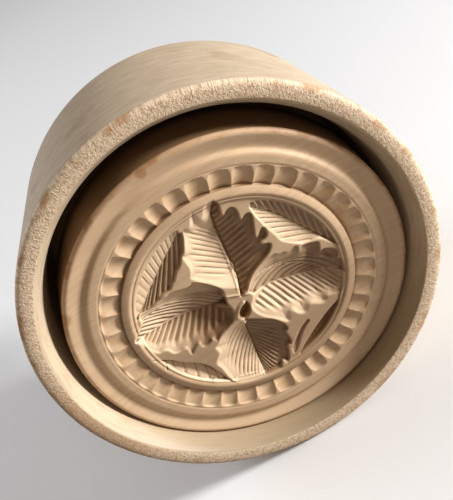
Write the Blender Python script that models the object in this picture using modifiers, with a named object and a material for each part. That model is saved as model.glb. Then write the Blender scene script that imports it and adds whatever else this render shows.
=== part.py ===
# Butter mold of turned maple. A cup-shaped case lies on its side with its mouth
# to the front (-Y). In it slides a plunger: a carved print on a turned handle.
from math import asin, atan2, cos, pi, radians, sin, tan

import bmesh
import bpy
from mathutils import Matrix, Vector

MM = 0.001

# The print: a disc, its rings measured from the edge inwards
PRINT_RADIUS = 47.5 * MM
PRINT_THICKNESS = 17.0 * MM
PRINT_EDGE_ROUND = 1.3 * MM
PRINT_BACK_CHAMFER = 1.0 * MM
OUTER_BAND_WIDTH = 5.8 * MM
BAND_STEP = 0.7 * MM
INNER_BAND_WIDTH = 3.5 * MM
SCOOP_LENGTH = 5.9 * MM
SCOOP_DEPTH = 1.5 * MM
SCOOP_COUNT = 40
RIDGE_DROP = 0.4 * MM
BEAD_WIDTH = 3.2 * MM
FIELD_DEPTH = 1.0 * MM
LEAF_DEPTH = 3.6 * MM
SIDE_LEAF_DEPTH = 1.6 * MM
PATTERN_TURN_DEG = -29.0

# The handle: tenon, stem and knob in one piece
TENON_RADIUS = 8.0 * MM
TENON_LENGTH = 10.0 * MM
STEM_RADIUS = 11.0 * MM
KNOB_RADIUS = 19.0 * MM
KNOB_HALF_LENGTH = 13.0 * MM
KNOB_FLAT_RADIUS = 5.0 * MM
KNOB_COVE = 3.0 * MM

# The case: a bored cup, its heights measured back from the mouth
RIM_WALL = 4.6 * MM
RIM_LAND = 1.4 * MM
RIM_SETBACK = 2.2 * MM
LIP_ROUND = 0.5 * MM
SIDE_LENGTH = 49.5 * MM
SIDE_TAPER_DEG = 4.0
SHOULDER_RADIUS = 33.0 * MM
SHOULDER_TURN_DEG = 27.0
BACK_EDGE_RADIUS = 9.0 * MM
BACK_EDGE_TURN_DEG = 78.0
BACK_DOME = 1.0 * MM
COLLAR_RADIUS = 19.0 * MM
COLLAR_HEIGHT = 2.2 * MM
BACK_WALL = 10.0 * MM
BORE_DRAFT_DEG = 3.9
BORE_CORNER = 5.0 * MM
HOLE_CHAMFER = 0.8 * MM

# How the pieces fit together
RECESS = 4.4 * MM
BORE_CLEARANCE = 0.6 * MM
REST_GAP = 0.3 * MM
STEM_CLEARANCE = 0.3 * MM
SEAT_GAP = 0.3 * MM
PUSH_TRAVEL = 10.0 * MM

CASE_STEPS = 64
PRINT_STEPS = 3 * SCOOP_COUNT
HANDLE_STEPS = 40
ARC_STEPS = 5
BEAD_STEPS = 3
SHARP_ANGLE = radians(35)
SCOOP_RING_SHARES = (0.0, 0.12, 0.5, 0.88)
MERGE_DISTANCE = 0.01 * MM

# Four broad leaves and four slim ones, as turns round the print and shares of its field
LEAF_ANGLES_DEG = (5.0, 106.0, 202.0, 290.0)
LEAF_CENTRE_SHARE = 0.53
LEAF_LENGTH_SHARE = 0.42
LEAF_WIDTH_SHARE = 0.29
SIDE_LEAF_ANGLES_DEG = (53.0, 152.0, 243.0, 325.0)
SIDE_LEAF_CENTRE_SHARE = 0.85
SIDE_LEAF_LENGTH_SHARE = 0.25
SIDE_LEAF_WIDTH_SHARE = 0.09

LIE = radians(SIDE_TAPER_DEG)
DRAFT = radians(BORE_DRAFT_DEG)

MAPLE_CASE = (0.56, 0.44, 0.30)
MAPLE_PRINT = (0.60, 0.44, 0.28)
MAPLE_HANDLE = (0.54, 0.41, 0.27)


def arc(centre, radius, start, end, steps=ARC_STEPS, squash=1.0):
    """Points (r, z) on an arc; angles turn from +r towards +z, and squash shortens it along z."""
    points = []
    for i in range(steps + 1):
        a = start + (end - start) * i / steps
        points.append((centre[0] + radius * cos(a), centre[1] + radius * squash * sin(a)))
    return points


def case_outline():
    """The case's section (r, z), z = 0 at the mouth, with the places that other pieces need."""
    shoulder_turn = radians(SHOULDER_TURN_DEG)
    edge_turn = radians(BACK_EDGE_TURN_DEG)

    # straight side, then two arcs of growing slope round to the back
    side_end = -RIM_SETBACK - SIDE_LENGTH
    side_fall = SIDE_LENGTH * tan(LIE)
    shoulder_height = SHOULDER_RADIUS * (sin(shoulder_turn) - sin(LIE))
    shoulder_fall = SHOULDER_RADIUS * (cos(LIE) - cos(shoulder_turn))
    edge_height = BACK_EDGE_RADIUS * (sin(edge_turn) - sin(shoulder_turn))
    back_z = side_end - shoulder_height - edge_height
    collar_foot_z = back_z - BACK_DOME
    collar_z = collar_foot_z - COLLAR_HEIGHT
    floor_z = collar_foot_z + BACK_WALL

    floor_radius = PRINT_RADIUS + BORE_CLEARANCE
    mouth_bore = floor_radius - floor_z * tan(DRAFT)
    rim_radius = mouth_bore + RIM_WALL
    rest = plunger_rest(mouth_bore)
    hole_radius = hole_for_stem(rest, floor_z, collar_z)

    nose_centre = (mouth_bore + RIM_LAND, -RIM_SETBACK)
    nose_reach = RIM_WALL - RIM_LAND
    outer = arc(nose_centre, nose_reach, pi / 2, 0, squash=RIM_SETBACK / nose_reach)
    side_radius = rim_radius - side_fall
    outer += arc((side_radius - SHOULDER_RADIUS * cos(LIE), side_end + SHOULDER_RADIUS * sin(LIE)),
                 SHOULDER_RADIUS, -LIE, -shoulder_turn)
    edge_radius = side_radius - shoulder_fall
    edge_centre = (edge_radius - BACK_EDGE_RADIUS * cos(shoulder_turn),
                   side_end - shoulder_height + BACK_EDGE_RADIUS * sin(shoulder_turn))
    outer += arc(edge_centre, BACK_EDGE_RADIUS, -shoulder_turn, -edge_turn)[1:]
    outer += [(COLLAR_RADIUS, collar_foot_z), (COLLAR_RADIUS, collar_z)]

    hole = [(hole_radius + HOLE_CHAMFER, collar_z), (hole_radius, collar_z + HOLE_CHAMFER),
            (hole_radius, floor_z - HOLE_CHAMFER), (hole_radius + HOLE_CHAMFER, floor_z)]

    corner_centre = (floor_radius - BORE_CORNER, floor_z + BORE_CORNER)
    corner = arc(corner_centre, BORE_CORNER, -pi / 2, -DRAFT)
    lip = [(mouth_bore - LIP_ROUND * tan(DRAFT), -LIP_ROUND), (mouth_bore + LIP_ROUND, 0)]
    places = {"floor_z": floor_z, "collar_z": collar_z, "rim_radius": rim_radius, "rest": rest}
    return outer + hole + corner + lip, places


def plunger_rest(mouth_bore):
    """Centre of the print's face in the case's (up, out) plane, its low edge on the bore."""
    low_out = -RECESS - PRINT_RADIUS * sin(LIE) - (BAND_STEP + PRINT_EDGE_ROUND) * cos(LIE)
    wall_there = mouth_bore + low_out * tan(DRAFT)
    drop = wall_there - REST_GAP / cos(DRAFT) - PRINT_RADIUS * cos(LIE)
    return Vector((-drop, -RECESS))


def hole_for_stem(rest, floor_z, collar_z):
    """The hole lets the drooping stem through with its clearance at both ends."""
    reach = []
    for z in (floor_z, collar_z):
        axis_up = rest.x + (rest.y - z) * tan(LIE)
        reach.append(abs(axis_up) + STEM_RADIUS / cos(LIE) + STEM_CLEARANCE)
    return max(reach)


def print_outline():
    """The print's section (r, z), z = 0 at the bands, open at the field and at the socket's floor."""
    step_radius = PRINT_RADIUS - OUTER_BAND_WIDTH
    scoop_outer = step_radius - INNER_BAND_WIDTH
    scoop_inner = scoop_outer - SCOOP_LENGTH
    field = scoop_inner - BEAD_WIDTH
    bead_half = BEAD_WIDTH / 2

    points = [(field, -FIELD_DEPTH)]
    points += arc((field + bead_half, -FIELD_DEPTH), bead_half, pi, pi / 2, BEAD_STEPS,
                  FIELD_DEPTH / bead_half)[1:]
    points += arc((field + bead_half, -RIDGE_DROP), bead_half, pi / 2, 0, BEAD_STEPS,
                  RIDGE_DROP / bead_half)[1:-1]
    points += [(scoop_inner + SCOOP_LENGTH * share, -RIDGE_DROP * (1 - share))
               for share in SCOOP_RING_SHARES]
    points += [(scoop_outer, 0), (step_radius, 0), (step_radius + BAND_STEP / 2, -BAND_STEP)]
    points += arc((PRINT_RADIUS - PRINT_EDGE_ROUND, -BAND_STEP - PRINT_EDGE_ROUND), PRINT_EDGE_ROUND,
                  pi / 2, 0, BEAD_STEPS)
    points += [(PRINT_RADIUS, -PRINT_THICKNESS + PRINT_BACK_CHAMFER),
               (PRINT_RADIUS - PRINT_BACK_CHAMFER, -PRINT_THICKNESS)]
    socket = TENON_RADIUS + SEAT_GAP
    points += [(socket, -PRINT_THICKNESS), (socket, -PRINT_THICKNESS + TENON_LENGTH + SEAT_GAP)]
    return points, {"field": field, "scoop_inner": scoop_inner, "scoop_outer": scoop_outer}


def handle_outline(stem_length):
    """The handle's section (r, z): tenon at the top, stem, cove and a flattened ball of a knob."""
    shoulder_z = -PRINT_THICKNESS - SEAT_GAP
    knob_z = shoulder_z - stem_length
    neck_radius = min(STEM_RADIUS + KNOB_COVE, KNOB_RADIUS * cos(pi / 6))
    start = asin(neck_radius / KNOB_RADIUS)
    squash = KNOB_HALF_LENGTH / KNOB_RADIUS
    ball_z = knob_z - KNOB_HALF_LENGTH * cos(start)
    end = pi - asin(KNOB_FLAT_RADIUS / KNOB_RADIUS)
    ball = arc((0, ball_z), KNOB_RADIUS, pi / 2 - start, pi / 2 - end, 2 * ARC_STEPS, squash)
    tenon_top = shoulder_z + TENON_LENGTH
    tenon = [(0, tenon_top), (TENON_RADIUS, tenon_top), (TENON_RADIUS, shoulder_z)]
    stem = [(STEM_RADIUS, shoulder_z), (STEM_RADIUS, knob_z + KNOB_COVE)]
    return tenon + stem + ball + [(0, ball[-1][1])]


def turned(name, outline, steps, colour, closed=False, radius_scale=1.0):
    """A solid of revolution about its own Z: an outline of edges with a Screw modifier."""
    mesh = bpy.data.meshes.new(name)
    bm = bmesh.new()
    verts = [bm.verts.new((r * radius_scale, 0, z)) for r, z in outline]
    for a, b in zip(verts, verts[1:]):
        bm.edges.new((a, b))
    if closed:
        bm.edges.new((verts[-1], verts[0]))
    bm.to_mesh(mesh)
    bm.free()
    piece = bpy.data.objects.new(name, mesh)
    parts.objects.link(piece)
    screw = piece.modifiers.new("turn", "SCREW")
    screw.axis = "Z"
    screw.angle = 2 * pi
    screw.steps = steps
    screw.render_steps = steps
    screw.use_merge_vertices = True
    screw.merge_threshold = MERGE_DISTANCE
    mesh.materials.append(wood(name + "_wood", colour))
    return piece


def wood(name, colour):
    material = bpy.data.materials.new(name)
    material.use_nodes = True
    shader = material.node_tree.nodes["Principled BSDF"]
    shader.inputs["Base Color"].default_value = (*colour, 1.0)
    shader.inputs["Roughness"].default_value = 0.6
    shader.inputs["Metallic"].default_value = 0.0
    material.diffuse_color = (*colour, 1.0)
    return material


def frozen(piece):
    """The piece's evaluated shape becomes its own mesh, its modifiers gone."""
    bpy.context.view_layer.update()
    evaluated = piece.evaluated_get(bpy.context.evaluated_depsgraph_get())
    mesh = bpy.data.meshes.new_from_object(evaluated)
    mesh.name = piece.name
    piece.modifiers.clear()
    piece.data = mesh
    return mesh


def scoop_cut(radius, angle, rings):
    """Depth of the gouge cuts round the print: a row of hollows that meet in ridges."""
    along = (radius - rings["scoop_inner"]) / SCOOP_LENGTH
    slack = MERGE_DISTANCE / SCOOP_LENGTH
    if along < -slack or along > SCOOP_RING_SHARES[-1] + slack:
        return 0
    across = (angle * SCOOP_COUNT / (2 * pi)) % 1
    return SCOOP_DEPTH * 4 * across * (1 - across)


def carved_print():
    outline, rings = print_outline()
    piece = turned("carved_print", outline, PRINT_STEPS, MAPLE_PRINT)
    mesh = frozen(piece)
    bm = bmesh.new()
    bm.from_mesh(mesh)
    bmesh.ops.holes_fill(bm, edges=[e for e in bm.edges if e.is_boundary], sides=0)
    for vert in bm.verts:
        facing = vert.co.z > -RIDGE_DROP - MERGE_DISTANCE
        if facing:
            vert.co.z -= scoop_cut(vert.co.xy.length, atan2(vert.co.y, vert.co.x), rings)
    bmesh.ops.recalc_face_normals(bm, faces=bm.faces)
    bm.to_mesh(mesh)
    bm.free()

    cut = piece.modifiers.new("leaves", "BOOLEAN")
    cut.operation = "DIFFERENCE"
    cut.use_self = True  # neighbouring leaves touch
    cut.object = leaf_cutter(rings["field"])
    cut.object.parent = piece
    return piece


def leaf_cutter(field):
    """Eight flattened balls, half sunk in the field: one hollow for each leaf."""
    bm = bmesh.new()
    level = Matrix.Translation((0, 0, -FIELD_DEPTH))
    broad = (LEAF_CENTRE_SHARE, LEAF_LENGTH_SHARE, LEAF_WIDTH_SHARE, LEAF_DEPTH)
    slim = (SIDE_LEAF_CENTRE_SHARE, SIDE_LEAF_WIDTH_SHARE, SIDE_LEAF_LENGTH_SHARE, SIDE_LEAF_DEPTH)
    leaves = [(a, *broad) for a in LEAF_ANGLES_DEG] + [(a, *slim) for a in SIDE_LEAF_ANGLES_DEG]
    for angle, centre_share, out_share, across_share, depth in leaves:
        turn = Matrix.Rotation(radians(angle + PATTERN_TURN_DEG), 4, "Z")
        place = Matrix.Translation((field * centre_share, 0, 0))
        shape = Matrix.Diagonal((field * out_share, field * across_share, depth, 1))
        bmesh.ops.create_uvsphere(bm, u_segments=16, v_segments=9, radius=1,
                                  matrix=level @ turn @ place @ shape)
    mesh = bpy.data.meshes.new("leaf_cutter")
    bm.to_mesh(mesh)
    bm.free()
    cutter = bpy.data.objects.new("leaf_cutter", mesh)
    cutter.hide_render = True
    cutter.display_type = "WIRE"
    cutters.objects.link(cutter)
    return cutter


def smooth(piece):
    piece.data.shade_smooth()
    piece.data.set_sharp_from_angle(angle=SHARP_ANGLE)


def empty(name, location, tilt, parent=None):
    holder = bpy.data.objects.new(name, None)
    holder.location = location
    holder.rotation_euler = (tilt, 0, 0)
    holder.parent = parent
    parts.objects.link(holder)
    return holder


for old in list(bpy.data.objects):
    bpy.data.objects.remove(old)
parts = bpy.data.collections.new("butter_mold")
cutters = bpy.data.collections.new("cutters")
bpy.context.scene.collection.children.link(parts)
bpy.context.scene.collection.children.link(cutters)

case_section, places = case_outline()
mouth_height = places["rim_radius"] * cos(LIE) + RIM_SETBACK * sin(LIE)
mold = empty("mold", (0, 0, 0), 0)
case_axis = empty("case_axis", (0, 0, mouth_height), pi / 2 - LIE, mold)
up, out = places["rest"]
face_y = up * sin(LIE) - out * cos(LIE)
face_z = mouth_height + up * cos(LIE) + out * sin(LIE)
plunger_axis = empty("plunger_axis", (0, face_y, face_z), pi / 2, mold)

facet_scale = 1 / cos(pi / CASE_STEPS)
case = turned("case", case_section, CASE_STEPS, MAPLE_CASE, closed=True, radius_scale=facet_scale)
case.parent = case_axis
case.rotation_euler.z = pi / CASE_STEPS
smooth(case)

carved = carved_print()
carved.parent = plunger_axis
smooth(carved)

to_collar = (out - places["collar_z"]) / cos(LIE) + COLLAR_RADIUS * tan(LIE)
stem_length = to_collar - PRINT_THICKNESS + PUSH_TRAVEL + KNOB_COVE
handle = turned("handle", handle_outline(stem_length), HANDLE_STEPS, MAPLE_HANDLE)
handle.parent = plunger_axis
smooth(handle)

# The origin lies under the middle of the part
bpy.context.view_layer.update()
graph = bpy.context.evaluated_depsgraph_get()
ends = []
for piece in (case, carved, handle):
    shown = piece.evaluated_get(graph)
    ends += [(shown.matrix_world @ vert.co).y for vert in shown.data.vertices]
mold.location.y = -(min(ends) + max(ends)) / 2
bpy.context.view_layer.update()

back_room = (out - places["floor_z"]) * cos(LIE) - PRINT_THICKNESS - PRINT_RADIUS * sin(LIE)
print("Plunger axis at", plunger_axis.matrix_world.translation[:], "room behind the print", back_room)
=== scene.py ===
from math import asin, cos, pi, radians, sin, tan

import bmesh
import bpy
import numpy as np
from mathutils import Matrix, Vector


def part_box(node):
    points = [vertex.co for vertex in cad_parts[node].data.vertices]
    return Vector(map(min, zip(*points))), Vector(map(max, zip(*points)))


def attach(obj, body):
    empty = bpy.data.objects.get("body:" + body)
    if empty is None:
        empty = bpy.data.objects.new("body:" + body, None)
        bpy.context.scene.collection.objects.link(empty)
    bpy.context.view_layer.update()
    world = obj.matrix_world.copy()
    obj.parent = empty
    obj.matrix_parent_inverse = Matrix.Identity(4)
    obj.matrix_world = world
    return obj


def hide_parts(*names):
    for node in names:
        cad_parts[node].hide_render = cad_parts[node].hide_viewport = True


# Turned wooden butter mold: a case, and in it a plunger with a carved print and a knob
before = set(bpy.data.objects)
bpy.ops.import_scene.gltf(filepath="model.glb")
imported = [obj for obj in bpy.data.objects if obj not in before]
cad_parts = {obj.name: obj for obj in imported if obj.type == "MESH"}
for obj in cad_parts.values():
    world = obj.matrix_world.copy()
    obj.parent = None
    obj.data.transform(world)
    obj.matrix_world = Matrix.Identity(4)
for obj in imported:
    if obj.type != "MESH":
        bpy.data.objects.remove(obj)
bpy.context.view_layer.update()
scene = bpy.context.scene
scene.view_settings.view_transform = "Standard"
mm = 0.001
mergeReach = 0.005 * mm
turnParts = 32


# Camera
cameraView = {
    "eye": (0.01621, -0.23144, 0.18882),
    "right": (0.84671, -0.25077, -0.46925),
    "up": (0.52886, 0.49323, 0.69068),
    "lens": 61.65,
}


def makeCamera(settings):
    data = bpy.data.cameras.new("photoCamera")
    data.lens = settings["lens"]
    data.sensor_width = 36
    data.clip_start = 0.01
    camera = bpy.data.objects.new("photoCamera", data)
    scene.collection.objects.link(camera)
    right = Vector(settings["right"]).normalized()
    back = right.cross(Vector(settings["up"])).normalized()
    turned = Matrix((right, back.cross(right), back)).transposed().to_4x4()
    camera.matrix_world = Matrix.Translation(settings["eye"]) @ turned
    scene.camera = camera
    print("camera set")


makeCamera(cameraView)


# Where the turned pieces lie: the case on its tapered side, the plunger level in it
lie = radians(4)
mouthMiddle = (0, -0.052202, 0.056812)
printMiddle = (0, -0.048081, 0.052664)
casePlace = Matrix.Translation(mouthMiddle) @ Matrix.Rotation(pi / 2 - lie, 4, "X")
plungerPlace = Matrix.Translation(printMiddle) @ Matrix.Rotation(pi / 2, 4, "X")


def arc(centre, radius, start, end, steps, squash=1.0):
    # points (r, z); the angle turns from +r to +z
    turns = np.linspace(start, end, steps + 1)
    return [(centre[0] + radius * cos(a), centre[1] + radius * squash * sin(a)) for a in turns]


def line(start, end, steps):
    shares = np.linspace(0, 1, steps + 1)
    return [(start[0] + (end[0] - start[0]) * s, start[1] + (end[1] - start[1]) * s) for s in shares]


def turn(bm, outline, steps, closed=False):
    # spins an outline (r, z) through one part of a turn, then doubles that until the turn closes
    verts = [bm.verts.new((r, 0, z)) for r, z in outline]
    edges = [bm.edges.new(pair) for pair in zip(verts, verts[1:])]
    if closed:
        edges.append(bm.edges.new((verts[-1], verts[0])))
    bmesh.ops.spin(bm, geom=verts + edges, cent=(0, 0, 0), axis=(0, 0, 1), dvec=(0, 0, 0),
                   angle=2 * pi / turnParts, steps=steps // turnParts, use_merge=False, use_duplicate=False)
    parts = 1
    while parts < turnParts:
        made = bmesh.ops.duplicate(bm, geom=bm.verts[:] + bm.edges[:] + bm.faces[:])["geom"]
        copied = [item for item in made if isinstance(item, bmesh.types.BMVert)]
        bmesh.ops.rotate(bm, verts=copied, cent=(0, 0, 0),
                         matrix=Matrix.Rotation(2 * pi * parts / turnParts, 3, "Z"))
        parts *= 2
    bmesh.ops.remove_doubles(bm, verts=bm.verts, dist=mergeReach)


def easeStep(low, high, value):
    t = np.clip((value - low) / (high - low), 0, 1)
    return t * t * (3 - 2 * t)


def wobble(angle, seed):
    # an uneven wave round a hand-finished edge, from about -1 to 1: six waves, the quicker ones smaller
    counts = (2, 3, 5, 7, 11, 16)
    phases = 1.7 * seed + np.arange(len(counts)) * 2.4
    return sum(np.sin(n * angle + p) / n ** 0.5 for n, p in zip(counts, phases)) / 2.6


def finishMesh(bm, name, place, body, node, materials):
    # a piece's mesh goes to its place, and the piece stands for its CAD node where it has one
    bmesh.ops.transform(bm, matrix=place, verts=bm.verts)
    bmesh.ops.recalc_face_normals(bm, faces=bm.faces)
    mesh = bpy.data.meshes.new(name)
    bm.to_mesh(mesh)
    bm.free()
    mesh.shade_smooth()
    piece = bpy.data.objects.new(name, mesh)
    scene.collection.objects.link(piece)
    for material in materials:
        mesh.materials.append(material)
    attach(piece, body)
    if node:
        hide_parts(node)
    print(name, len(mesh.polygons), "faces")
    return piece


# Shader maths: a wrapped socket that adds its Math nodes as it is used in sums
class Signal:
    def __init__(self, finish, socket):
        self.finish = finish
        self.socket = socket

    def maths(self, operation, first, second):
        return self.finish.add("ShaderNodeMath", {"operation": operation}, {0: first, 1: second})

    def __add__(self, other):
        return self.maths("ADD", self, other)

    def __radd__(self, other):
        return self.maths("ADD", other, self)

    def __sub__(self, other):
        return self.maths("SUBTRACT", self, other)

    def __rsub__(self, other):
        return self.maths("SUBTRACT", other, self)

    def __mul__(self, other):
        return self.maths("MULTIPLY", self, other)

    def __rmul__(self, other):
        return self.maths("MULTIPLY", other, self)


class Finish:
    # one material, and the means to add nodes to it
    def __init__(self, name, place, roughness):
        self.material = bpy.data.materials.new(name)
        self.material.use_nodes = True
        self.tree = self.material.node_tree
        self.shader = self.tree.nodes["Principled BSDF"]
        self.shader.inputs["Roughness"].default_value = roughness
        if place:
            self.takeMillimetres(place)

    def feed(self, socket, value):
        if isinstance(value, Signal):
            self.tree.links.new(value.socket, socket)
        elif isinstance(value, tuple) and socket.type == "RGBA":
            socket.default_value = (*value, 1.0)
        else:
            socket.default_value = value

    def pick(self, sockets, key):
        # a socket by number, or the one of that name that is in use
        if isinstance(key, int):
            return sockets[key]
        return next(socket for socket in sockets if socket.name == key and socket.enabled)

    def add(self, kind, settings=None, values=None, output=0):
        node = self.tree.nodes.new(kind)
        for name, value in (settings or {}).items():
            setattr(node, name, value)
        for key, value in (values or {}).items():
            self.feed(self.pick(node.inputs, key), value)
        return Signal(self, self.pick(node.outputs, output))

    def takeMillimetres(self, place):
        # the piece's own millimetres: z along its axis, up across it, r from it, and ring, a unit
        # arrow away from it
        world = self.add("ShaderNodeTexCoord", output="Object")
        self.point = self.add("ShaderNodeMapping", {"vector_type": "TEXTURE"},
                              {"Vector": world, "Location": tuple(place.translation),
                               "Rotation": tuple(place.to_euler()), "Scale": (mm, mm, mm)})
        flat = self.add("ShaderNodeVectorMath", {"operation": "MULTIPLY"}, {0: self.point, 1: (1, 1, 0)})
        self.up, self.z = (self.add("ShaderNodeSeparateXYZ", {}, {0: self.point}, axis) for axis in "YZ")
        self.r = self.add("ShaderNodeVectorMath", {"operation": "LENGTH"}, {0: flat}, "Value")
        self.ring = self.add("ShaderNodeVectorMath", {"operation": "NORMALIZE"}, {0: flat})

    def noise(self, vector, detail=3.0, roughness=0.55):
        return self.add("ShaderNodeTexNoise", {}, {"Vector": vector, "Scale": 1.0, "Detail": detail,
                                                   "Roughness": roughness})

    def blotches(self, size, detail=3.0):
        # even patches of about this many millimetres
        spots = self.add("ShaderNodeVectorMath", {"operation": "SCALE"}, {0: self.point, "Scale": 1 / size})
        return self.noise(spots, detail)

    def streaks(self, around, along, detail=3.0, roughness=0.55):
        # patches drawn out round the axis, about six times around of them in a turn; along is a
        # signal, and a new row of patches starts where it grows by 1
        spread = self.add("ShaderNodeVectorMath", {"operation": "SCALE"}, {0: self.ring, "Scale": around})
        lift = self.add("ShaderNodeCombineXYZ", {}, {"Z": along})
        both = self.add("ShaderNodeVectorMath", {"operation": "ADD"}, {0: spread, 1: lift})
        return self.noise(both, detail, roughness)

    def awayFrom(self, place):
        # distance in millimetres from a place
        return self.add("ShaderNodeVectorMath", {"operation": "DISTANCE"}, {0: self.point, 1: place}, "Value")

    def rise(self, value, low, high):
        # 0 below low, 1 above high and smooth between; falls where low is above high
        return self.add("ShaderNodeMapRange", {"interpolation_type": "SMOOTHSTEP"},
                        {"Value": value, "From Min": low, "From Max": high})

    def mix(self, share, first, second):
        return self.add("ShaderNodeMix", {"data_type": "RGBA"}, {"Factor": share, "A": first, "B": second},
                        "Result")

    def paint(self, colour):
        self.feed(self.shader.inputs["Base Color"], colour)

    def emboss(self, height, depth):
        # height from 0 to 1, worth this many millimetres
        bump = self.add("ShaderNodeBump", {}, {"Height": height, "Distance": depth * mm})
        self.feed(self.shader.inputs["Normal"], bump)


# Floor
floorLook = {"size": 3.0, "roughness": 1.0, "colour": (0.40, 0.37, 0.33), "seenColour": (0.92, 0.94, 0.97)}


def makeFloor(settings):
    bm = bmesh.new()
    bmesh.ops.create_grid(bm, x_segments=1, y_segments=1, size=settings["size"])
    mesh = bpy.data.meshes.new("floor")
    bm.to_mesh(mesh)
    bm.free()
    floor = bpy.data.objects.new("floor", mesh)
    scene.collection.objects.link(floor)
    finish = Finish("palePaint", None, settings["roughness"])
    direct, mirrored, through = (finish.add("ShaderNodeLightPath", output=ray)
                                 for ray in ("Is Camera Ray", "Is Glossy Ray", "Is Transmission Ray"))
    finish.paint(finish.mix(direct + mirrored + through, settings["colour"], settings["seenColour"]))
    mesh.materials.append(finish.material)
    print("floor set")


# Light: a window low on the right, a small warm lamp beside the camera, a pale ceiling, a soft lamp
# high behind on the left and a dim warm room
lightPlan = {
    "aim": (0, -0.05, 0.055),
    "lamps": {
        "window": {"towards": (0.934, -0.240, 0.265), "distance": 1.0, "along": (0.27, 0.96, 0.1),
                   "size": (0.22, 0.20), "watts": 18.5, "colour": (1.0, 0.98, 0.95)},
        "nearLamp": {"towards": (0.072, -0.803, 0.592), "distance": 0.24, "along": (1, 0, 0),
                     "size": (0.06, 0.06), "watts": 0.05, "colour": (1.0, 0.78, 0.54)},
        "ceiling": {"towards": (0.1, -0.2, 0.97), "distance": 1.2, "along": (1, 0, -0.1),
                    "size": (0.9, 0.9), "watts": 1.5, "colour": (1.0, 0.97, 0.94)},
        "backLamp": {"towards": (-0.72, 0.42, 0.55), "distance": 1.0, "along": (0.5, 0.86, 0),
                     "size": (0.7, 0.7), "watts": 5.7, "colour": (0.97, 0.98, 1.0)},
    },
    "room": (1.0, 0.62, 0.36),
    "roomStrength": 0.042,
}


def makeLights(settings):
    for name, plan in settings["lamps"].items():
        lamp = bpy.data.lights.new(name, "AREA")
        lamp.shape = "RECTANGLE"
        lamp.size, lamp.size_y = plan["size"]
        lamp.energy = plan["watts"]
        lamp.color = plan["colour"]
        shine = bpy.data.objects.new(name, lamp)
        scene.collection.objects.link(shine)
        back = Vector(plan["towards"]).normalized()
        side = Vector(plan["along"])
        side = (side - side.dot(back) * back).normalized()
        turned = Matrix((side, back.cross(side), back)).transposed().to_4x4()
        shine.matrix_world = Matrix.Translation(Vector(settings["aim"]) + back * plan["distance"]) @ turned
    world = bpy.data.worlds.new("room")
    world.use_nodes = True
    air = world.node_tree.nodes["Background"]
    air.inputs["Color"].default_value = (*settings["room"], 1.0)
    air.inputs["Strength"].default_value = settings["roomStrength"]
    scene.world = world
    print("lights set")


makeFloor(floorLook)
makeLights(lightPlan)


# Case
# the bore's low and deep colours are painted shade
caseLook = {
    "side": (0.62, 0.50, 0.37), "sideStreak": (0.50, 0.39, 0.27), "sideStain": (0.37, 0.25, 0.15),
    "sideRoughness": 0.55,
    "endGrain": (0.80, 0.63, 0.46), "endPore": (0.42, 0.28, 0.17), "endStain": (0.44, 0.24, 0.11),
    "endDarkMiddle": (-52, -14, 0), "endRoughness": 0.75,
    "bore": (0.60, 0.48, 0.34), "boreStreak": (0.48, 0.37, 0.25), "boreLowShade": (0.34, 0.26, 0.165),
    "boreDeepShade": (0.50, 0.34, 0.20), "boreRoughness": 0.5,
}


def makeSideWood(look):
    # streaks round the case, finer turning marks and a few grey-brown stains
    wood = Finish("caseSide", casePlace, look["sideRoughness"])
    drawn = wood.streaks(7, wood.z * 0.55 + wood.r * 0.2, 5, 0.6)
    fine = wood.streaks(16, wood.z * 2.6, 3)
    patches = wood.blotches(14, 4)
    colour = wood.mix(wood.rise(drawn, 0.35, 0.68), look["side"], look["sideStreak"])
    colour = wood.mix(wood.rise(fine, 0.45, 0.75) * 0.45, colour, look["sideStreak"])
    colour = wood.mix(wood.rise(patches, 0.56, 0.74) * 0.6, colour, look["sideStain"])
    wood.paint(colour)
    wood.emboss(fine * 0.6 + drawn * 0.4, depth=0.12)
    return wood.material


def makeEndGrain(look):
    # the rim's cut fibres and pores, stained at its outer edge and darker brown towards one side
    wood = Finish("rimEndGrain", casePlace, look["endRoughness"])
    fibres = wood.streaks(80, wood.r * 1.2 + wood.z * 0.6, 3, 0.6)
    pores = wood.streaks(130, wood.r * 2.2 + wood.z, 2, 0.7)
    patches = wood.blotches(6, 3)
    colour = wood.mix(wood.rise(fibres, 0.42, 0.70) * 0.8, look["endGrain"], look["endPore"])
    colour = wood.mix(wood.rise(pores, 0.50, 0.70) * 0.5, colour, look["endPore"])
    outer = wood.rise(wood.r, 53.8, 56.4)
    colour = wood.mix(wood.rise(patches, 0.52, 0.64) * outer * 0.8, colour, look["endStain"])
    # darker brown towards one side of the rim
    away = wood.awayFrom(look["endDarkMiddle"]) + (patches - 0.5) * 20
    colour = wood.mix(wood.rise(away, 26, 8) * 0.5, colour, look["endStain"])
    wood.paint(colour)
    wood.emboss(fibres * 0.4 + pores * 0.6, depth=0.35)
    return wood.material


def makeBoreWood(look):
    # painted shade low down in the bore, and darker, browner painted shade further in
    wood = Finish("boreWood", casePlace, look["boreRoughness"])
    drawn = wood.streaks(6, wood.z * 0.8, 4)
    colour = wood.mix(wood.rise(drawn, 0.4, 0.7), look["bore"], look["boreStreak"])
    # painted shade low down in the bore, where the lamp does not reach
    colour = wood.mix(wood.rise(wood.up + (drawn - 0.5) * 10, -8, -44) * 0.85, colour, look["boreLowShade"])
    # painted shade deeper in the bore
    colour = wood.mix(wood.rise(wood.z, -5, -16) * 0.95, colour, look["boreDeepShade"])
    wood.paint(colour)
    wood.emboss(drawn, depth=0.08)
    return wood.material


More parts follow.
